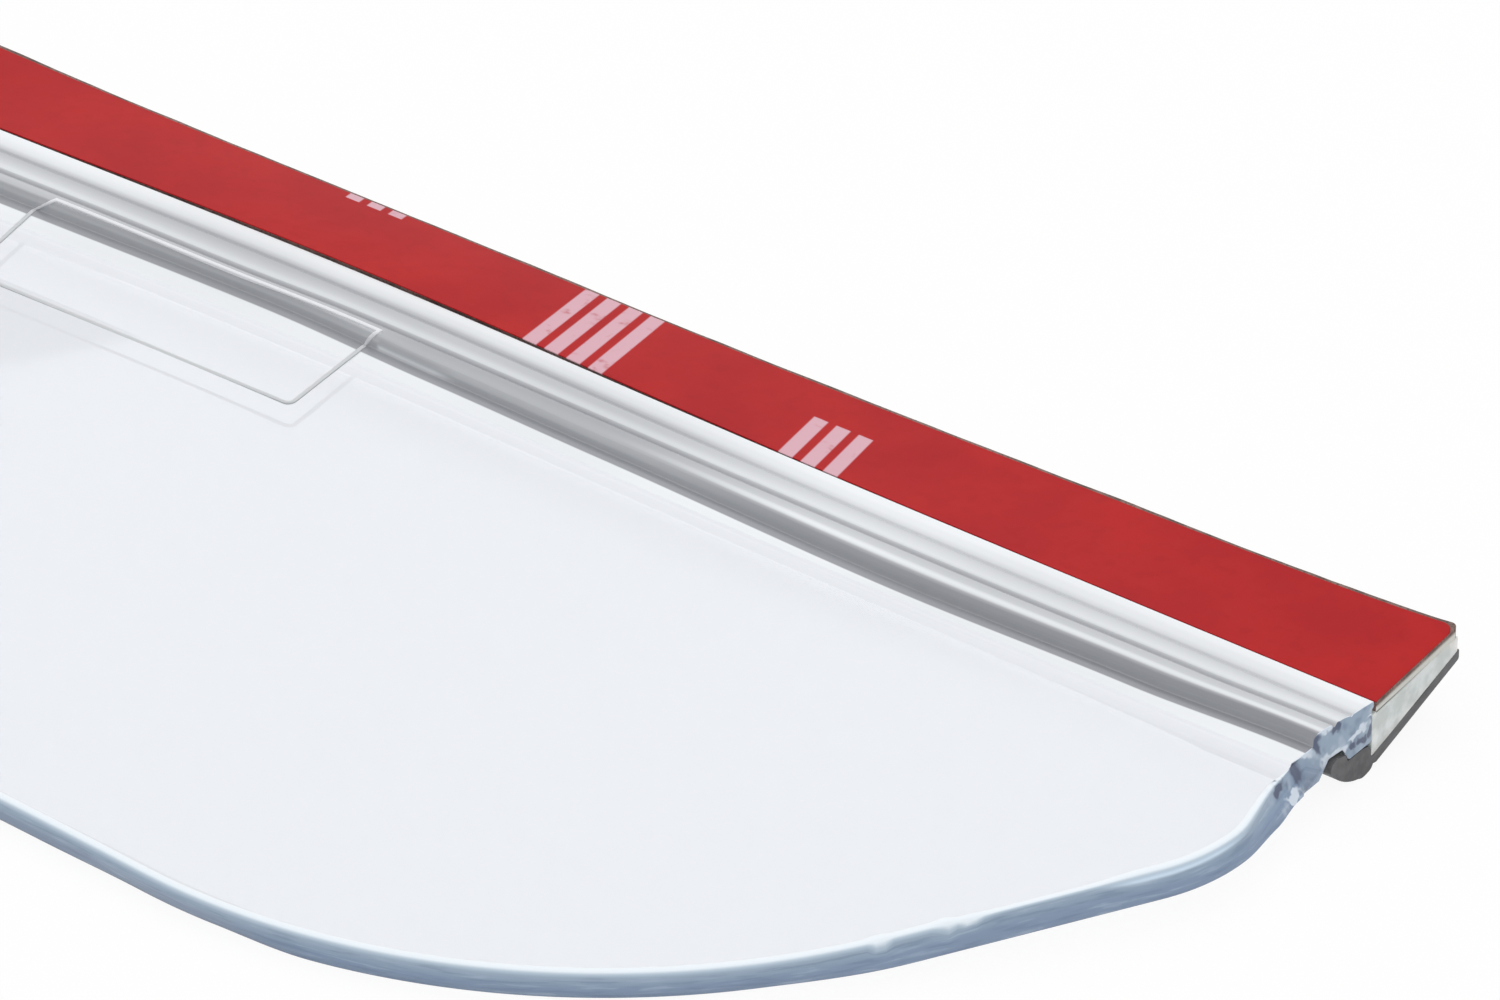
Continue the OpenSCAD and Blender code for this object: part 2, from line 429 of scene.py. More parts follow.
def bladeOutline():
    # From the rail's right end round the front to its left end, with running length
    v = visor
    startY = railRear - v["Foot"]
    radius, frontRadius = v["Shoulder radius"], v["Front radius"]
    flare, side = radians(v["Flare angle"]), radians(v["Side angle"])
    shoulderX = railEnd + v["Shoulder out"] - radius
    flareX = shoulderX + radius * cos(flare)
    flareY = startY - (flareX - railEnd) / tan(flare)
    shoulder = (shoulderX, flareY - radius * sin(flare))
    sideX, sideY = shoulderX + radius * cos(side), shoulder[1] - radius * sin(side)
    footX = sideX - (sideY - frontEdge) * tan(side)
    frontX = footX - frontRadius * tan((pi / 2 - side) / 2)
    dip = 2 * atan(v["Front dip"] / frontX)
    dipRadius = frontX / sin(dip) - frontRadius
    ahead = v["Section"][-1][0] - v["Foot"]
    corner, front = (frontX, frontEdge + frontRadius), (0, frontEdge + v["Front dip"] - dipRadius)
    shoulderSteps, cornerSteps, frontSteps = v["Outline steps"]
    half = [(railEnd + ahead * tan(flare), startY - ahead)]
    half += arc(shoulder, radius, v["Flare angle"], -v["Side angle"], shoulderSteps)
    half += arc(corner, frontRadius, -v["Side angle"], -90 - degrees(dip), cornerSteps)
    half += arc(front, dipRadius, 90 - degrees(dip), 90, frontSteps)[1:]
    points = half + [(-x, y) for x, y in reversed(half[:-1])]
    run = [0.0]
    for (x0, y0), (x1, y1) in zip(points, points[1:]):
        run.append(run[-1] + hypot(x1 - x0, y1 - y0))
    return points, run


def alongOutline(points, run, length):
    # Point and inward direction at a running length
    i = min(max(bisect_left(run, length), 1), len(points) - 1)
    (x0, y0), (x1, y1) = points[i - 1], points[i]
    t = (length - run[i - 1]) / (run[i] - run[i - 1])
    way = Vector((x1 - x0, y1 - y0)).normalized()
    return Vector((x0 + (x1 - x0) * t, y0 + (y1 - y0) * t)), Vector((way.y, -way.x))


def alongList(pairs, length):
    # Value at a running length or an X, eased between the listed ones
    for (start, first), (end, second) in zip(pairs, pairs[1:]):
        if length < end:
            return first + (second - first) * smoothStep(length, start, end)
    return pairs[-1][1]


def drifted(y, x):
    # The soft rail's grooves and foot wander forward along it
    v = visor
    back = railRear - y
    groove = alongList(v["Groove drift"], x) * smoothStep(back, *v["Groove drift from"])
    foot = alongList(v["Foot drift"], x)
    end = v["Section"][-1][0]
    shift = groove + (foot - groove) * smoothStep(back, *v["Foot drift from"])
    return y - shift * (1 - smoothStep(back, v["Foot"], end))


def undrifted(y, x, attempts=12):
    # The place that drifting moves to y, closed in on step by step
    straight = y
    for attempt in range(attempts):
        straight += y - drifted(straight, x)
    return straight


def placeOnRail(back, down):
    # Running distance from the rear top edge, over the rail's top and then down its front
    return back + down if back > visor["Front turn"] else back


def crowded(share):
    return share * (1 + visor["Crowding"] - visor["Crowding"] * share)


def turnedNormals(path):
    # Outward direction at each point of the rail's section
    out = []
    for i in range(len(path)):
        a, b = path[max(i - 1, 0)], path[min(i + 1, len(path) - 1)]
        way = Vector((b[0] - a[0], b[1] - a[1])).normalized()
        out.append(Vector((way.y, -way.x)))
    return out


finishes = {"clear": 0, "edge": 1, "rail": 2, "line": 3}  # the visor's material slots
pastRail = 9.0  # railRun of every point that isn't on the rail


def visorRings():
    # One ring of points for each station; each point is (x, y, z, edgeBand, edgeRun, railRun)
    v = visor
    rail = rounded([(railRear - back, railTop - down, r) for back, down, r in v["Section"]], closed=False)
    normals = turnedNormals(rail)
    startY, bladeTop = rail[-1]
    bladeBottom = bladeTop - v["Blade thickness"]
    nearTop = 0.05
    topStart = next(j for j, (y, z) in enumerate(rail) if z > railTop - nearTop)
    railRun, slants = [], []
    for j, (y, z) in enumerate(rail):
        back, down = railRear - y, railTop - z
        railRun.append(-down if j < topStart else placeOnRail(back, down))
        share = min(max((z - bladeBottom) / v["Blade thickness"], 0.0), 1.0)
        slants.append(1 - v["End slant"] * smoothStep(back, *v["End slant from"]) * share / railEnd)
    points, run = bladeOutline()
    lead, small = v["Lead"], v["End rounding"]
    sideBand, lowBand = v["Side band"], v["Lower band"]
    rightAngle = pi / 2

    def ring(station, turn, way):
        # turn grows to a right angle where the visor goes round into an end face
        share = station / v["Stations"]
        length = lead + (run[-1] - 2 * lead) * share
        fromEnd = min(length, run[-1] - length)
        rimPoint, inward = alongOutline(points, run, length)
        nick, bite = 0.0, 0.0
        for middle, halfWidth, depth in v["Nicks"]:
            near = exp(-((rimPoint - Vector(middle)).length / halfWidth) ** 2)
            nick, bite = max(nick, near), bite + near * depth
        top = alongList(v["Rim rounding"], fromEnd) + bite
        low = small + (v["Lower rounding"] - small) * smoothStep(fromEnd, lead, v["Lower rounding full"])
        lean = inward * -alongList(v["Lean"], fromEnd)
        railX = (railEnd - small) * (1 - 2 * share)
        push, sink = small * sin(turn), small * (1 - cos(turn))
        turnBand = turn / rightAngle * sideBand
        made = []

        def add(spot, z, band):
            made.append((spot.x, spot.y, z, band, length, pastRail))

        # Over the rail
        for j, ((y, z), normal) in enumerate(zip(rail, normals)):
            if j >= topStart:
                y = drifted(y, railX)
            x = railX * slants[j] + way * push
            made.append((x, y - normal.x * sink, z - normal.y * sink, turnBand, 0.0, railRun[j]))
        # Forward over the blade's upper side
        start, startZ = Vector((railX * slants[-1] + way * push, startY)), bladeTop - sink
        rimTop = rimPoint + inward * alongList(v["Upper inset"], fromEnd)
        arcCentre = rimTop + inward * top
        arcStart = arcCentre - inward * top * sin(turn)
        halo = arcStart + inward * v["Halo"] * smoothStep(fromEnd, lead, v["Halo full"])
        halo, haloZ = halo + inward * v["Halo least"], bladeTop - top * (1 - cos(turn))
        for k in range(1, v["Columns"] + 1):
            t = crowded(k / v["Columns"])
            spot = start.lerp(halo, t)
            band = turnBand - (v["Halo band"] if k == v["Columns"] else 0.0)
            add(spot, startZ + (haloZ - startZ) * t, band)
        # Down the cut edge
        for k in range(v["Rim steps"] + 1):
            bend = max(turn, rightAngle * k / v["Rim steps"])
            spot = arcCentre - inward * top * sin(bend)
            band = bend / rightAngle * (sideBand - v["Nick band"] / 2 * nick)
            add(spot, bladeTop - top * (1 - cos(bend)), band)
        height = v["Blade thickness"] - top - low
        for k in range(1, v["Side steps"] + 1):
            t = k / (v["Side steps"] + 1)
            spot = rimTop.lerp(rimPoint + lean, t)
            band = sideBand + (lowBand - sideBand) * t
            add(spot, bladeTop - top - height * t, band)
        lowCentre = rimPoint + lean + inward * low
        for k in range(v["Lower steps"]):
            bend = max(turn, rightAngle * (1 - k / (v["Lower steps"] - 1)))
            spot = lowCentre - inward * low * sin(bend)
            band = 1.0 - (1.0 - lowBand) * bend / rightAngle
            add(spot, bladeBottom + low * (1 - cos(bend)), band)
        # Back along the blade's underside
        start, startZ = Vector((railX + way * push, startY)), bladeBottom + sink
        end, endZ = lowCentre - inward * low * sin(turn), bladeBottom + low * (1 - cos(turn))
        for k in range(v["Columns"] - 1, 0, -1):
            t = crowded(k / v["Columns"])
            spot = start.lerp(end, t)
            add(spot, startZ + (endZ - startZ) * t, 1.0)
        return made

    turns = [radians(turn) for turn in (90, 60, 30)]
    rings = [ring(0, turn, 1) for turn in turns]
    rings += [ring(i, 0.0, 0) for i in range(v["Stations"] + 1)]
    rings += [ring(v["Stations"], turn, -1) for turn in reversed(turns)]
    firstRim = len(rail) + v["Columns"] - 1
    lastRim = firstRim + v["Rim steps"] + v["Side steps"] + v["Lower steps"] + 1
    # The rail's faces run from the top of its rear side over its foot
    firstRail = next(j for j, place in enumerate(railRun) if place > -0.45)
    return rings, len(turns), (firstRim, lastRim), (firstRail, len(rail) - 1)


def makeVisorMesh():
    rings, roundings, rim, railFaces = visorRings()
    size = len(rings[0])
    mesh = bpy.data.meshes.new("visor_blade_clear")
    vertices = [tuple(part * mm for part in point[:3]) for ring in rings for point in ring]
    faces, kinds = [], []
    for i in range(len(rings) - 1):
        atEnd = i < roundings or i >= len(rings) - 1 - roundings
        for j in range(size):
            k = (j + 1) % size
            faces.append((i * size + j, (i + 1) * size + j, (i + 1) * size + k, i * size + k))
            onRail = railFaces[0] <= j < railFaces[1]
            onEdge = atEnd or rim[0] <= j < rim[1]
            kinds.append(finishes["edge" if onEdge else "rail" if onRail else "clear"])
    faces.append(tuple(range(size)))
    faces.append(tuple(reversed(range((len(rings) - 1) * size, len(rings) * size))))
    kinds += [finishes["edge"]] * 2
    mesh.from_pydata(vertices, [], faces)
    mesh.polygons.foreach_set("material_index", kinds)
    for column, label in ((3, "edgeBand"), (4, "edgeRun"), (5, "railRun")):
        values = mesh.attributes.new(label, "FLOAT", "POINT")
        values.data.foreach_set("value", [point[column] for ring in rings for point in ring])
    work = bmesh.new()
    work.from_mesh(mesh)
    weld = 0.0002 * mm
    bmesh.ops.remove_doubles(work, verts=work.verts, dist=weld)
    bmesh.ops.recalc_face_normals(work, faces=work.faces)
    work.to_mesh(mesh)
    work.free()
    return mesh


blankFrame = {  # raised line round a blank panel, whose rear stretch lies on the rail
    "Centre": 1.05,
    "Width": 26.9,
    "Depth": 8.7,
    "Line": 0.31,
    "Height": 0.13,
    "Root": 0.3,
    "Corner": 0.6,
    "Corner steps": 4,
    "Rear": 3.98,  # how far the rear line lies in front of the rail's rear face
    "Rear segments": 12,
    # Over the rail's front edge: distance from its rear face, depth, outward Y and Z, share of the climb
    "Climb": [
        (4.45, 0.02, -0.3, 0.95, 0.9), (4.72, 0.22, -0.75, 0.66, 0.65), (4.8, 0.45, -1.0, 0.1, 0.4),
        (4.8, 0.78, -1.0, 0.0, 0.08), (4.8, 0.9, -0.7, 0.7, 0.0), (5.15, 0.9, 0.0, 1.0, 0.0)],
    "Rear shift": 0.25,  # how far the rear corners lie to the right
    "Foot shift": (-1.1, -0.3),  # the same where the sides meet the blade, left and right
    # Painted highlight on the rail, painted shade on the blade, the climb in between
    "Rail highlight": (0.88, 0.89, 0.92, 1),
    "Climb color": (0.74, 0.75, 0.78, 1),
    "Climb color from": (4.7, 5.1),  # from the rail's rear face, start and end
    "Blade shade": (0.59, 0.61, 0.625, 1),
    "Blade shade from": (5.2, 6.0),
}


def framePath():
    # Points round the panel on the moulding's surface, each with its inward and outward directions
    f = blankFrame
    half, rear = f["Width"] / 2, railRear - f["Rear"]
    bladeTop = railTop - visor["Section"][-1][1]
    frontY = railRear - railWidth - f["Depth"]
    up = Vector((0, 0, 1))
    path = []
    for way, foot in ((1, f["Foot shift"][1]), (-1, f["Foot shift"][0])):
        x = f["Centre"] + way * half + f["Rear shift"]
        side = [(Vector((x, drifted(rear, x), railTop)), Vector((-way, -1, 0)), up)]
        for back, down, outY, outZ, share in f["Climb"]:
            x = f["Centre"] + way * half + foot + (f["Rear shift"] - foot) * share
            spot = Vector((x, drifted(railRear - back, x), railTop - down))
            side.append((spot, Vector((-way, 0, 0)), Vector((0, outY, outZ))))
        for k in range(f["Corner steps"] + 1):
            turn = radians(90 * k / f["Corner steps"])
            outside = Vector((way * cos(turn), -sin(turn), 0))
            centre = Vector((f["Centre"] + way * (half - f["Corner"]), frontY + f["Corner"], bladeTop))
            side.append((centre + outside * f["Corner"], -outside, up))
        path += side if way == 1 else reversed(side)
    # The rear stretch follows the rail in short pieces, back to the right
    start, end = path[-1][0].x, path[0][0].x
    for k in range(1, f["Rear segments"]):
        x = start + (end - start) * k / f["Rear segments"]
        path.append((Vector((x, drifted(rear, x), railTop)), Vector((0, -1, 0)), up))
    return path


def makeFrameLine():
    # A low ridge in one closed run; its sides climb the rail's front face
    f = blankFrame
    # Share of the line's width, height above the surface
    profile = [(0.0, -f["Root"]), (0.04, f["Height"] * 0.65), (0.25, f["Height"]), (0.75, f["Height"]),
               (0.96, f["Height"] * 0.65), (1.0, -f["Root"])]
    work = bmesh.new()
    rings = []
    for spot, inward, outward in framePath():
        ring = [spot + inward * f["Line"] * across + outward * height for across, height in profile]
        rings.append([work.verts.new(place * mm) for place in ring])
    for i, ring in enumerate(rings):
        after = rings[(i + 1) % len(rings)]
        for j in range(len(profile)):
            k = (j + 1) % len(profile)
            work.faces.new((ring[j], ring[k], after[k], after[j]))
    bmesh.ops.recalc_face_normals(work, faces=work.faces)
    for face in work.faces:
        face.material_index = finishes["line"]
    mesh = bpy.data.meshes.new("frame line")
    work.to_mesh(mesh)
    work.free()
    return mesh


clear = {
    "Color": (0.785, 0.805, 0.845, 1),
    "Pale": (0.87, 0.89, 0.935, 1),  # painted light beside the rail's foot
    "Pale band": ((5.3, 5.7), (8.8, 7.4)),  # from the rail's rear face, fading in and out
    "Palest": (0.915, 0.935, 0.98, 1),  # painted light over the shade of the rail's leg
    "Palest band": ((6.4, 6.7), (7.8, 7.5)),
}


def clearPlastic():
    bench, place = newMaterial("clear plastic", {
        "Roughness": 0.02, "IOR": 1.46, "Transmission Weight": 1.0})
    x, y, z = bench.millimetres(place)
    tint = clear["Color"]
    # The tint is painted lighter beside the rail's foot, lightest over the shade of its leg
    for name in ("Pale", "Palest"):
        here = bench.between(railRear - y, *clear[name + " band"])
        tint = bench.blend(here, tint, clear[name])
    bench.roughen(bench.noise(place, 40.0, detail=1.0), 0.01, 0.3)
    return bench.painted(tint)


railLightAndShade = {  # painted light and shade: places by railRun, and tones
    "Left": [
        (-0.6, 0.9), (-0.1, 0.97), (0.4, 0.93), (0.8, 0.88), (1.15, 0.82), (1.4, 0.68), (1.65, 0.54),
        (1.9, 0.5), (2.2, 0.58), (2.5, 0.68), (2.75, 0.8), (2.98, 0.82), (3.1, 0.66), (3.2, 0.5),
        (3.4, 0.46), (3.55, 0.54), (3.75, 0.58), (4.3, 0.54), (4.45, 0.43), (4.7, 0.42), (5.0, 0.46),
        (5.64, 0.48), (5.75, 0.38), (6.4, 0.36), (6.5, 0.9), (7.25, 0.87)],
    "Middle": [
        (-0.6, 0.9), (-0.1, 0.97), (0.4, 0.93), (0.7, 0.87), (1.0, 0.83), (1.28, 0.71), (1.5, 0.56),
        (1.72, 0.52), (2.0, 0.6), (2.4, 0.64), (2.75, 0.78), (2.98, 0.8), (3.1, 0.66), (3.22, 0.48),
        (3.42, 0.44), (3.6, 0.44), (3.9, 0.45), (4.3, 0.49), (4.6, 0.5), (4.9, 0.49), (5.1, 0.5),
        (5.3, 0.5), (5.64, 0.48), (5.75, 0.36), (6.4, 0.33), (6.5, 0.9), (7.25, 0.87)],
    "Right": [
        (-0.6, 0.9), (-0.1, 1.0), (0.4, 0.97), (0.75, 0.9), (1.15, 0.87), (1.45, 0.78), (1.7, 0.68),
        (1.95, 0.62), (2.15, 0.71), (2.5, 0.79), (2.85, 0.87), (3.05, 0.78), (3.18, 0.56), (3.38, 0.53),
        (3.5, 0.6), (3.8, 0.63), (4.05, 0.69), (4.14, 0.86), (4.22, 0.93), (4.32, 0.83), (4.43, 0.42),
        (4.55, 0.32), (5.0, 0.33), (5.2, 0.42), (5.64, 0.45), (5.75, 0.33), (6.4, 0.32), (6.5, 0.91),
        (7.25, 0.87)],
    "Start": -0.6,
    "End": 7.4,
    "Left to middle": (9.0, 19.0),  # X
    "Middle to right": (31.0, 50.0),
    "Panel highlight": (4.12, 0.22, 0.82),  # painted highlight along the frame's rear stretch: middle, half width, tone
    "Panel fade": 0.1,  # at both ends of that line
    "Front light and shade": [(4.9, 0.2, 0.42), (5.42, 0.19, 0.84)],  # painted shade, then a painted highlight, on the front, right of the frame
    "Front light and shade band": ((0.1, 0.5), (7.0, 4.5)),  # from the frame's right side, fading in and out
    "Dark": (0.0, 0.0, 0.03, 1),
    "Bright": (0.95, 0.975, 1.0, 1),
}


def railPlastic():
    # The rail's ribbed top and front, milky, painted with light and shade: bright bands, dark grooves and a
    # dark front
    bench, place = newMaterial("rail plastic", {
        "Roughness": 0.22, "IOR": 1.46, "Transmission Weight": 0.1})
    run = bench.attribute("railRun")
    x, y, z = bench.millimetres(place)
    t, f = railLightAndShade, blankFrame
    span = t["End"] - t["Start"]
    along = (run - t["Start"]) / span
    ladders = []
    for part in ("Left", "Middle", "Right"):
        ladders.append(bench.ladder(along, [((spot - t["Start"]) / span, tone) for spot, tone in t[part]]))
    left, middle, right = ladders
    tone = left + (middle - left) * bench.step(x, *t["Left to middle"])
    tone = tone + (right - tone) * bench.step(x, *t["Middle to right"])
    fromMiddle, half, fade = x - f["Centre"] - f["Rear shift"], f["Width"] / 2, t["Panel fade"]
    middle, width, bright = t["Panel highlight"]
    # A painted highlight along the frame's rear stretch
    line = bench.step(abs(fromMiddle), half + fade, half - fade) * bench.bell(run, middle, width)
    tone = tone + (bright - tone) * line
    # Painted lines of shade and light on the front, right of the frame
    beside = bench.between(fromMiddle - half, *t["Front light and shade band"])
    for middle, width, shade in t["Front light and shade"]:
        tone = tone + (shade - tone) * beside * bench.bell(run, middle, width)
    streaks = bench.noise(place, 260.0, detail=3.0, stretch=(0.03, 1.0, 1.0))
    patches = bench.noise(place, 45.0, detail=1.0)
    tone = tone * (1.06 - bench.step(streaks, 0.4, 0.8) * 0.08 - bench.step(patches, 0.35, 0.7) * 0.06)
    return bench.painted(bench.blend(tone, t["Dark"], t["Bright"]))


def framePlastic():
    # The raised line is painted light by the rail, a painted highlight, and painted grey on the blade, a
    # thin line of painted shade
    bench, place = newMaterial("frame line", {
        "Roughness": 0.3, "IOR": 1.46, "Transmission Weight": 0.1})
    f = blankFrame
    x, y, z = bench.millimetres(place)
    climbing = bench.step(railRear - y, *f["Climb color from"])
    onBlade = bench.step(railRear - y, *f["Blade shade from"])
    tone = bench.blend(climbing, f["Rail highlight"], f["Climb color"])
    return bench.painted(bench.blend(onBlade, tone, f["Blade shade"]))


endMarks = {  # painted light and shade on the cut end face: distance from the rail's rear, depth, half width, half height
    "Painted dark refractions": [
        (3.1, 0.3, 0.6, 0.45), (5.0, 0.7, 0.45, 0.75), (7.2, 1.2, 0.7, 0.8), (0.1, 1.7, 0.3, 0.8),
        (0.8, 2.2, 0.5, 0.35), (1.74, 2.0, 0.45, 0.35), (3.8, 2.3, 0.45, 0.3), (9.4, 1.3, 0.8, 0.4)],
    "Painted highlights": [
        (0.0, 0.95, 0.5, 0.15), (1.5, 1.4, 0.9, 0.25), (2.8, 2.0, 0.6, 0.35), (4.0, 1.9, 0.9, 0.35),
        (4.0, 0.1, 0.7, 0.35), (6.1, 0.75, 0.6, 0.4), (8.4, 2.2, 0.9, 0.3)],
    "Ends at": (12.0, 9.0),  # the mottle fades here
    "Ragged": (2.2, 1.6),  # how far the marks' outlines wander
}

edgeColors = {
    "Across": [  # by edgeBand, from the halo, a painted highlight, over the rounding and the side to the lower edge
        (0.0, (0.85, 0.89, 0.93, 1)), (0.1, (0.86, 0.92, 0.97, 1)), (0.17, (0.84, 0.91, 0.97, 1)),
        (0.23, (0.5, 0.6, 0.7, 1)), (0.3, (0.34, 0.43, 0.54, 1)), (0.45, (0.28, 0.37, 0.49, 1)),
        (0.62, (0.23, 0.31, 0.44, 1)), (0.87, (0.22, 0.29, 0.41, 1)), (1.0, (0.17, 0.205, 0.28, 1))],
    "Deep streaks": (0.1, 0.15, 0.25, 1),
    "Pale streaks": (0.5, 0.6, 0.72, 1),
    "Reflection": (0.66, 0.8, 0.94, 1),
    "Reflection band": ((6.0, 10.0), (19.0, 15.0)),  # by edgeRun
    "Reflection across": (0.24, 0.06),  # its middle and half width, by edgeBand
    "Pale mottle": (0.6, 0.68, 0.78, 1),
    "Dark mottle": (0.12, 0.17, 0.27, 1),
    "Painted dark refractions": (0.06, 0.08, 0.15, 1),
    "Painted highlights": (0.72, 0.8, 0.9, 1),
}


def edgePlastic():
    # The cut edge, where the tint of the plastic gathers, with a painted highlight along its top and
    # painted light and shade on the cut end
    bench, place = newMaterial("cut edge", {"Roughness": 0.18, "IOR": 1.46})
    band, run = bench.attribute("edgeBand"), bench.attribute("edgeRun")
    colors, halo = edgeColors, visor["Halo band"]
    # The halo at the start of the ramp is a painted highlight
    tone = bench.ramp((band + halo) / (1 + halo), colors["Across"])
    streaks = bench.noise(bench.vector(X=run * 0.12, Y=band * 3.0), 2.6, detail=3.0)
    inside = bench.step(band, 0.15, 0.3)
    tone = bench.blend(bench.step(streaks, 0.5, 0.32) * inside * 0.3, tone, colors["Deep streaks"])
    tone = bench.blend(bench.step(streaks, 0.55, 0.7) * inside * 0.3, tone, colors["Pale streaks"])
    # A pale reflection runs along the upper edge where the blade is widest
    stripe = bench.between(run, *colors["Reflection band"]) * bench.bell(band, *colors["Reflection across"])
    tone = bench.blend(stripe, tone, colors["Reflection"])
    x, y, z = bench.millimetres(place)
    back, down = railRear - y, railTop + lie["Rest lift"] - z
    # The cut end is painted with a mottle and ragged marks of light and shade: highlights and dark
    # refractions
    wander = bench.noise(place, 700.0, detail=2.0) - 0.5
    sway = bench.noise(place, 1100.0, detail=2.0) - 0.5
    atEnd = bench.step(back, *endMarks["Ends at"])
    tone = bench.blend(bench.step(wander, 0.02, 0.2) * atEnd * 0.5, tone, colors["Pale mottle"])
    tone = bench.blend(bench.step(wander, -0.03, -0.2) * atEnd * 0.5, tone, colors["Dark mottle"])
    back, down = back + wander * endMarks["Ragged"][0], down + sway * endMarks["Ragged"][1]
    for name in ("Painted dark refractions", "Painted highlights"):
        for markBack, markDown, width, height in endMarks[name]:
            near = bench.bell(back, markBack, width) * bench.bell(down, markDown, height)
            tone = bench.blend(bench.step(near, 0.2, 0.7) * 0.9, tone, colors[name])
    return bench.painted(tone)


def makeVisor():
    materials = clearPlastic(), edgePlastic(), railPlastic(), framePlastic()
    piece = newObject("visor_blade_clear", makeVisorMesh())
    ridge = newObject("frame line", makeFrameLine())
    for material in materials:
        piece.data.materials.append(material)
        ridge.data.materials.append(material)
    joiner = piece.modifiers.new("frame line", "BOOLEAN")
    joiner.operation, joiner.solver, joiner.object = "UNION", "EXACT", ridge
    made = baked(piece)
    piece.modifiers.remove(joiner)
    bpy.data.objects.remove(ridge)
    work = bmesh.new()
    work.from_mesh(made)
    bmesh.ops.holes_fill(work, edges=[edge for edge in work.edges if edge.is_boundary], sides=4)
    loose = sum(not edge.is_manifold for edge in work.edges)
    print("visor:", len(work.verts), "points,", loose, "open edges")
    work.to_mesh(made)
    work.free()
    # The union leaves the new points on the rail without their place on it
    for point, place in zip(made.vertices, made.attributes["railRun"].data):
        if place.value == 0.0:
            x, y, z = point.co / mm
            place.value = placeOnRail(railRear - undrifted(y, x), railTop - z)
    piece.data = made
    runTree(piece, lieTree, {"Strips": 0.0})
    smoothShade(piece.data, angle=35)
    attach(piece, "root")
    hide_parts("visor_blade")


makeVisor()


# Milky wedge between the tape and the lip strip

wedge = {
    "Front thickness": 3.12,
    "Rear thickness": 1.07,
    "Clearance": 0.01,  # kept from each neighbour
    "Corner": 0.12,
    "Pale": (0.96, 0.95, 0.92, 1),
    "Cloudy": (0.7, 0.7, 0.66, 1),
    # Painted shade near the tape
    "Deep": (0.62, 0.65, 0.62, 1),
}


def wedgeBottom(y):
    slope = (wedge["Front thickness"] - wedge["Rear thickness"]) / (coreHigh.y - coreLow.y)
    return coreHigh.z - wedge["Front thickness"] + slope * (y - coreLow.y)


def milkyPlastic():
    bench, place = newMaterial("milky core", {
        "Roughness": 0.42, "IOR": 1.45, "Subsurface Weight": 0.15})
    cloud = bench.noise(place, 650.0, detail=3.0)
    tone = bench.blend(bench.step(cloud, 0.38, 0.64), wedge["Cloudy"], wedge["Pale"])
    # Painted shade: darker towards top and rear, near the tape
    x, y, z = bench.xyz(place)
    upper = bench.step(y + z * 3, -12 * mm, -6 * mm)
    bench.roughen(bench.noise(place, 2500.0), 0.3, 0.05)
    return bench.painted(bench.blend(upper * 0.35, tone, wedge["Deep"]))


def makeWedge():
    gap, r = wedge["Clearance"], wedge["Corner"]
    front, rear, top = coreLow.y + gap, coreHigh.y - gap, coreHigh.z - gap
    section = rounded([(front, wedgeBottom(front) + gap, r), (rear, wedgeBottom(rear) + gap, r),
                       (rear, top, r), (front, top, r)], closed=True)
    piece = makeStrip("wedge_core_milky", section, milkyPlastic())
    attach(piece, "root")
    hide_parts("wedge_core")


makeWedge()


# Dark lip strip: skin under the wedge, heel and nose under the rail

lip = {
    "Skin": 0.75,
    "Past the wedge": 0.2,
    "Heel radius": 1.05,
    "Heel": (-5.55, -4.25),
    "Nose radius": 0.6,
    "Nose": (-8.55, -2.95),
    "Bulge": 0.25,  # how far the underside swells between nose and heel
    "Front corner": (-5.8, -3.13),
    "Cup corner": (-7.32, -3.13),
    "Cup top": (-7.56, -2.6),
    "Heel start": 0.74,  # how far behind the heel's middle its upper round begins
    "Slope turn": -19.3,  # in degrees, where the heel's round meets the skin
    "Skin start": -4.2,
    "Rear radii": (0.2, 0.15),  # of the skin's rear corners, below and above
    "Steps": 18,  # on the rounds of heel and nose
    "Short steps": 6,
    "Bulge steps": 8,
    "Deep": (0.075, 0.075, 0.08, 1),
    "Worn": (0.12, 0.12, 0.125, 1),
}


def darkRubber():
    bench, place = newMaterial("dark lip", {"Roughness": 0.5, "IOR": 1.42})
    grain = bench.noise(place, 1600.0, detail=4.0, roughness=0.6)
    cloud = bench.noise(place, 260.0)
    shade = bench.step(grain * 0.6 + cloud * 0.4, 0.36, 0.66)
    bench.roughen(grain, 0.35, 0.04)
    return bench.painted(bench.blend(shade, lip["Deep"], lip["Worn"]))


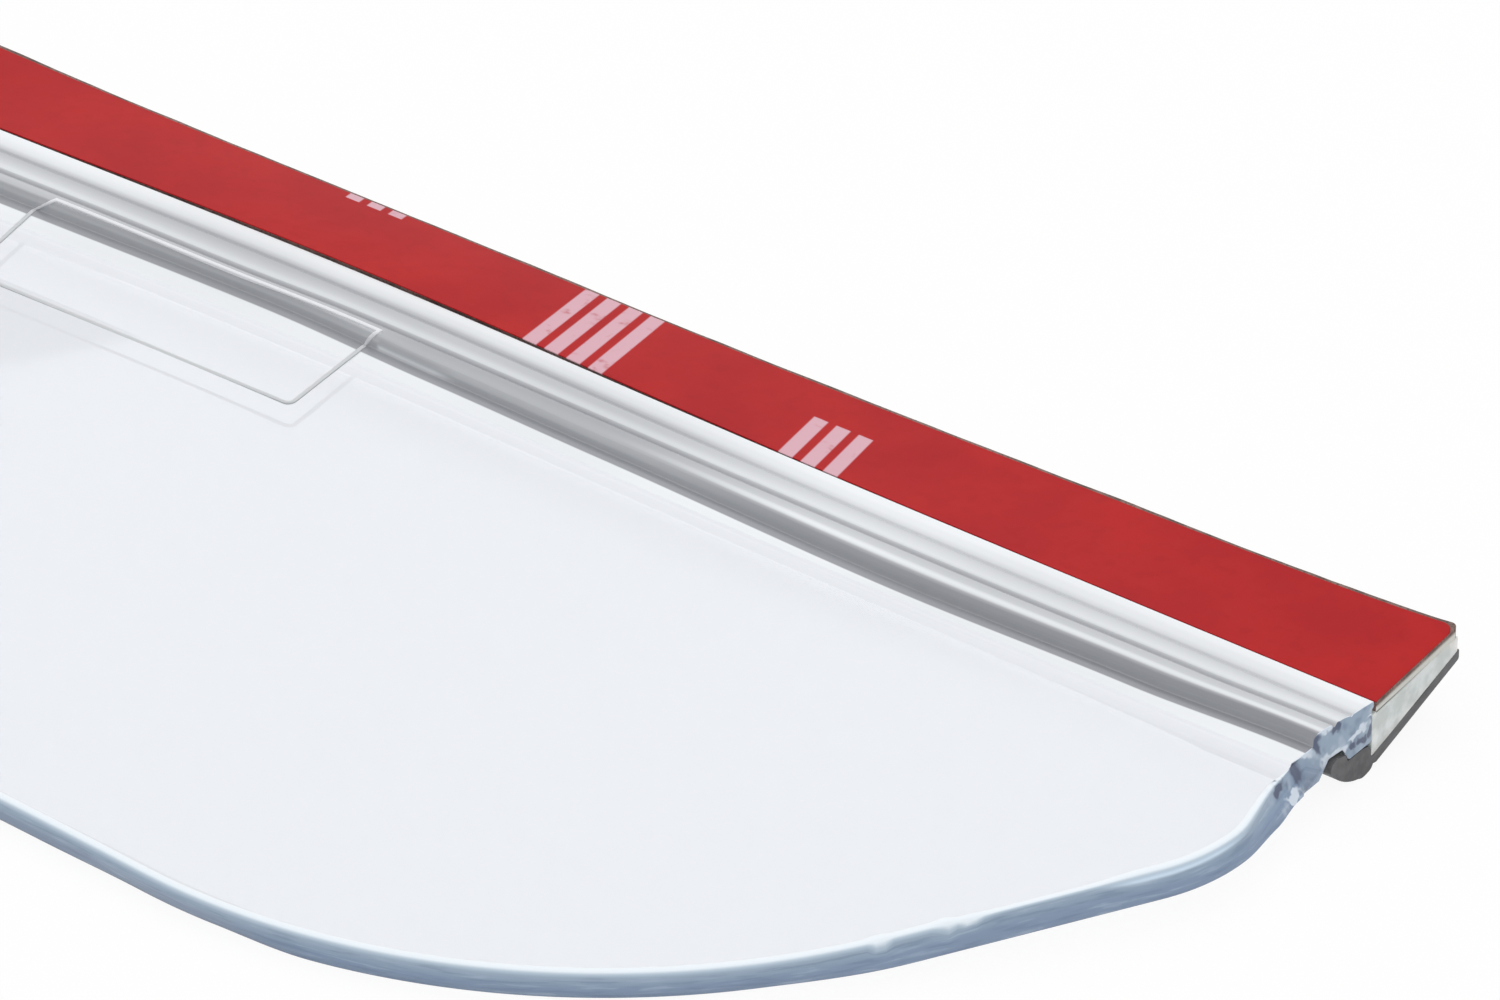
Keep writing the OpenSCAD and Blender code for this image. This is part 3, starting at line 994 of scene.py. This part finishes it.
def lipSection():
    v = lip
    heel, nose = v["Heel"], v["Nose"]
    turn = degrees(atan2(nose[1] - heel[1], nose[0] - heel[0]))
    apart = hypot(nose[0] - heel[0], nose[1] - heel[1])
    spread = degrees(acos((v["Heel radius"] - v["Nose radius"]) / apart))
    startTurn = 90 - degrees(asin(v["Heel start"] / v["Heel radius"]))
    end = coreHigh.y + v["Past the wedge"]
    gap = wedge["Clearance"]
    path = [(coreLow.y + gap, wedgeBottom(coreLow.y) - gap)]
    path += arc(heel, v["Heel radius"], startTurn, turn - spread, v["Short steps"])
    path += [v["Front corner"], v["Cup corner"], v["Cup top"]]
    path += arc(nose, v["Nose radius"], turn - spread, turn + spread, v["Steps"])
    out = Vector((cos(radians(turn + spread)), sin(radians(turn + spread))))
    first, last = Vector(nose) + out * v["Nose radius"], Vector(heel) + out * v["Heel radius"]
    for k in range(1, v["Bulge steps"]):
        t = k / v["Bulge steps"]
        path.append(tuple(first.lerp(last, t) + out * v["Bulge"] * 4 * t * (1 - t)))
    path += arc(heel, v["Heel radius"], turn + spread, 360 + v["Slope turn"], v["Steps"])
    path += rounded([
        (v["Skin start"], wedgeBottom(v["Skin start"]) - v["Skin"], 0),
        (end, wedgeBottom(end) - v["Skin"], v["Rear radii"][0]),
        (end, wedgeBottom(end) - gap, v["Rear radii"][1]), (0, wedgeBottom(0) - gap, 0)], closed=False)
    return path


def makeLip():
    piece = makeStrip("lip_strip_dark", lipSection(), darkRubber())
    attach(piece, "root")
    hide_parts("lip_strip")


makeLip()


# Foam mounting tape and its red liner

tape = {
    "Foam inset": (0.1, -0.1),  # at the front and the rear
    "Foam wander": (0.4, 4.2, 441),  # how far the cut edges wander, from which Y on, on how many stations
    "Foam round": 0.6,  # radius of the rear corners, seen from above
    "Liner inset": (0.0, 0.25),
    "Corner": 0.03,
    "Liner round": 1.0,
    "Bars": [  # printed bars on the liner: middle, rear end, front end, count
        (24.7, 4.6, -4.6, 4), (4.6, 4.6, 3.5, 3), (44.1, 0.6, -4.6, 3)],
    "Bar width": 1.1,
    "Bar pitch": 1.75,
    "Bar slant": -0.19,
    "Bar blur": (0.07, 0.05),  # half of it, on the sides and at the ends
    "Print": (0.7, 0.42, 0.48, 1),
    "Reds": [(0.4, 0.012, 0.015, 1), (0.46, 0.016, 0.016, 1), (0.33, 0.01, 0.013, 1)],
    "Foam deep": (0.11, 0.075, 0.065, 1),
    "Foam pale": (0.27, 0.185, 0.165, 1),
    "Foam end": (0.74, 0.74, 0.69, 1),  # low on the cut end faces
    "Foam end from": (0.2, 0.5),  # depth below the foam's top
}


def darkFoam():
    bench, place = newMaterial("tape foam", {"Roughness": 0.85, "Specular IOR Level": 0.3})
    cells = bench.put("ShaderNodeTexVoronoi", {"Vector": place, "Scale": 5200.0})
    cloud = bench.noise(place, 700.0, detail=3.0)
    shade = bench.step(cells, 0.05, 0.6) * bench.step(cloud, 0.2, 0.7)
    tone = bench.blend(shade, tape["Foam deep"], tape["Foam pale"])
    x, y, z = bench.millimetres(place)
    ends = bench.step(abs(x), railEnd - 0.05, railEnd - 0.01)
    slope = tan(radians(lie["Level"] + lie["End curl"]))
    behind = y - railRear - lie["Swing start"]
    foamTop = foamHigh.z + lie["Rest lift"] - lie["Strip sag"] + slope * behind
    low = bench.step(foamTop - z, *tape["Foam end from"]) * ends
    bench.roughen(cells, 0.7, 0.08)
    return bench.painted(bench.blend(low * 0.9, tone, tape["Foam end"]))


def redFilm():
    bench, place = newMaterial("red liner", {"Roughness": 0.45, "Specular IOR Level": 0.08})
    x, y, z = bench.millimetres(place)
    cloud = bench.noise(place, 130.0, detail=3.0)
    fine = bench.noise(place, 900.0, detail=2.0)
    red = bench.blend(bench.step(cloud, 0.3, 0.7), *tape["Reds"][:2])
    red = bench.blend(bench.step(fine, 0.45, 0.75) * 0.25, red, tape["Reds"][2])
    halfBar = tape["Bar width"] / 2
    blur, endBlur = tape["Bar blur"]
    bars = []
    for middle, rear, front, count in tape["Bars"]:
        span = bench.between(y, (front - endBlur, front + endBlur), (rear + endBlur, rear - endBlur))
        leant = x - middle - y * tape["Bar slant"]
        for k in range(count):
            off = abs(leant - (k - (count - 1) / 2) * tape["Bar pitch"])
            bars.append(bench.step(off, halfBar + blur, halfBar - blur) * span)
    worn = bench.most(bars) * bench.step(fine, 0.1, 0.42)
    bench.roughen(bench.noise(place, 240.0), 0.15, 0.3)
    return bench.painted(bench.blend(worn, red, tape["Print"]))


def layerSection(low, high, insets):
    gap, r = wedge["Clearance"] / 2, tape["Corner"]
    y0, y1, z0, z1 = low.y + insets[0], high.y - insets[1], low.z + gap, high.z
    return rounded([(y0, z0, r), (y1, z0, r), (y1, z1, r), (y0, z1, r)], closed=True)


def makeTape():
    section = layerSection(foamLow, foamHigh, tape["Foam inset"])
    foam = makeStrip("foam_tape_dark", section, darkFoam(), tape["Foam round"], *tape["Foam wander"])
    section = layerSection(linerLow, linerHigh, tape["Liner inset"])
    liner = makeStrip("release_liner_red", section, redFilm(), tape["Liner round"])
    for piece, node, slot in ((foam, "foam_tape", "foam"), (liner, "release_liner", "red_liner")):
        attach(piece, "root")
        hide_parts(node)


makeTape()
print("strips ready")


# Studio: pale floor, soft light and the camera

studio = {
    "Floor size": 3000.0,
    "Heel line": (-5.55, -5.05),  # where the lip's heel touches the floor, as Y and Z
    "Front line": (-62.4, -2.92),
    "Floor color": (0.9, 0.9, 0.9, 1),
    "Floor glow": 0.92,  # share of plain white that the camera sees in the floor
    "World light": 0.62,
    "Lamps": [  # place, width, watts
        ((-300, 500, 900), 900, 4.4), ((500, -500, 900), 700, 2.6)],
    "Camera place": (417.5, -506.7, 416.0),
    "Azimuth": 36.9,
    "Elevation": 33.8,
    "Lens": 288.0,
    "Sensor": 36,
}


def seenWhite(bench, material, share):
    # Adds plain white for what the camera sees straight, mirrored or through glass
    light = bench.put("ShaderNodeLightPath").socket.node
    kinds = ("Is Camera Ray", "Is Glossy Ray", "Is Transmission Ray")
    seen = bench.most([Wire(bench, light.outputs[kind]) for kind in kinds])
    white = bench.put("ShaderNodeEmission", {"Color": (1, 1, 1, 1), "Strength": 1.0})
    return bench.put("ShaderNodeMixShader", {0: seen * share, 1: material, 2: white})


def makeFloor():
    s = studio
    half = s["Floor size"] / 2
    (y0, z0), (y1, z1) = s["Front line"], s["Heel line"]
    tilt = (z1 - z0) / (y1 - y0)
    corners = []
    for x, y in ((-half, -half), (half, -half), (half, half), (-half, half)):
        corners.append((x * mm, y * mm, (z0 + tilt * (y - y0)) * mm))
    mesh = bpy.data.meshes.new("floor")
    mesh.from_pydata(corners, [], [(0, 1, 2, 3)])
    floor = newObject("floor", mesh)
    material = bpy.data.materials.new("pale floor")
    bench = emptyBench(material)
    paint = bench.put("ShaderNodeBsdfDiffuse", {"Color": s["Floor color"]})
    seen = seenWhite(bench, paint, s["Floor glow"])
    bench.put("ShaderNodeOutputMaterial", {"Surface": seen})
    mesh.materials.append(material)


def makeLight():
    world = bpy.data.worlds.new("studio")
    bpy.context.scene.world = world
    bench = emptyBench(world)
    dim = bench.put("ShaderNodeBackground", {"Color": (1, 1, 1, 1), "Strength": studio["World light"]})
    bench.put("ShaderNodeOutputWorld", {"Surface": seenWhite(bench, dim, 1.0)})
    for place, width, watts in studio["Lamps"]:
        data = bpy.data.lights.new("softbox", "AREA")
        data.energy, data.size = watts, width * mm
        lamp = newObject("softbox", data)
        lamp.location = Vector(place) * mm
        lamp.rotation_euler = (-lamp.location).to_track_quat("-Z", "Y").to_euler()
        lamp.visible_glossy = False


def makeCamera():
    data = bpy.data.cameras.new("camera")
    data.lens, data.sensor_width = studio["Lens"], studio["Sensor"]
    camera = newObject("camera", data)
    camera.location = Vector(studio["Camera place"]) * mm
    camera.rotation_euler = (radians(90 - studio["Elevation"]), 0, radians(studio["Azimuth"]))
    bpy.context.scene.camera = camera
    bpy.context.scene.view_settings.view_transform = "Standard"


makeFloor()
makeLight()
makeCamera()
print("studio ready")
